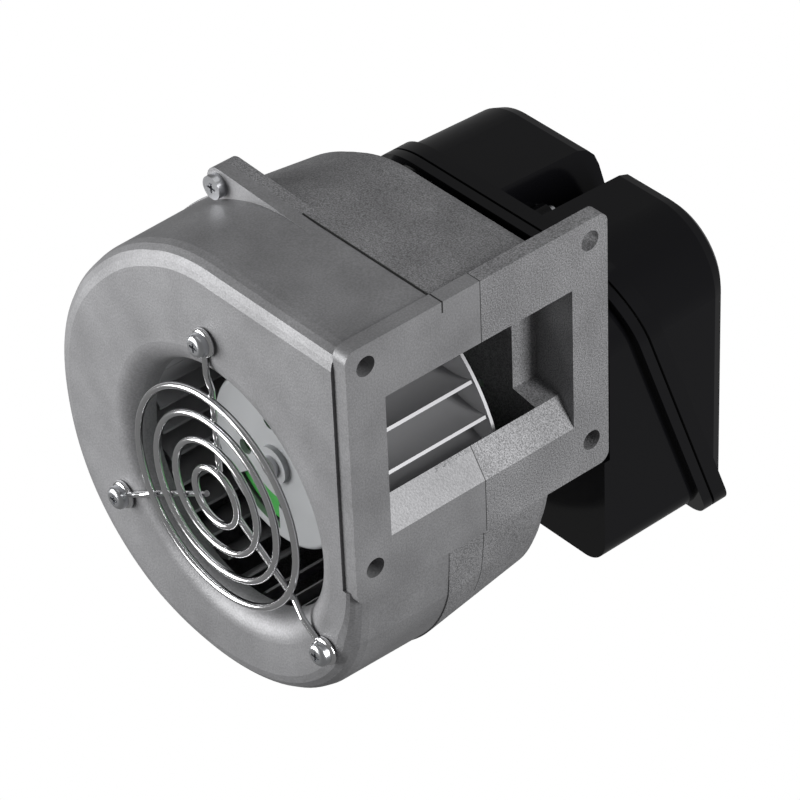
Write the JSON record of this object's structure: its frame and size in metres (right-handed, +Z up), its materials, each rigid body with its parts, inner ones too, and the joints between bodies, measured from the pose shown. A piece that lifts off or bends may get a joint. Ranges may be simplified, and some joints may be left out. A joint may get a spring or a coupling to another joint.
{
  "type": "combustion fan",
  "caption": "Cast aluminium centrifugal combustion fan with a wire inlet guard, an outer-rotor motor, a rectangular outlet flange and a glossy plastic motor cover.",
  "frame": {"origin": "centre of the outlet bolt pattern on the flange face", "axes": "+Z up, +Y along the fan axis from the inlet to the motor cover, +X out of the outlet flange"},
  "size_m": [0.1616, 0.1746, 0.1753],
  "materials": {
    "front_casting": "die cast, satin",
    "rear_casting": "sand blasted",
    "zinc_screw": "zinc plated",
    "guard_wire": "bright plated",
    "wheel_sheet": "satin",
    "rotor_steel": "light grey",
    "cage_steel": "dull",
    "shaft_steel": "ground",
    "copper_wire": "enamelled copper",
    "green_plastic": "moulded",
    "black_plastic": "glossy",
    "gasket_rubber": "soft",
    "capacitor_shell": "moulded",
    "white_plastic": "moulded",
    "grey_plastic": "moulded"
  },
  "bodies": {
    "fan_body": {"front_housing": "front_casting", "rear_housing": "rear_casting", "housing_screws": "zinc_screw", "guard_rings": "guard_wire", "guard_arms": "guard_wire", "guard_screws": "zinc_screw", "bearing_front": "shaft_steel", "bearing_rear": "shaft_steel", "wave_washer": "shaft_steel", "motor_bracket": "rear_casting", "bracket_screws": "zinc_screw", "stator_core": "cage_steel", "stator_windings": "copper_wire", "insulator_front": "green_plastic", "insulator_rear": "green_plastic", "cover_base": "black_plastic", "cover_gasket": "gasket_rubber", "cover_cap": "black_plastic", "cover_base_screws": "zinc_screw", "cover_cap_screw": "zinc_screw", "capacitor": "capacitor_shell", "terminal_block": "white_plastic", "cable_gland": "grey_plastic"},
    "rotor": {"impeller_backplate": "wheel_sheet", "impeller_blades": "wheel_sheet", "impeller_front_ring": "wheel_sheet", "impeller_rivets": "zinc_screw", "rotor_cup": "rotor_steel", "rotor_cage": "cage_steel", "motor_shaft": "shaft_steel", "shaft_circlip": "shaft_steel"}
  },
  "joints": [
    {"name": "rotor_spin", "type": "hinge", "parent": "fan_body", "child": "rotor", "pos_m": [-0.068, -0.0122, -0.0452], "axis": [0, 1, 0], "continuous": true}
  ]
}
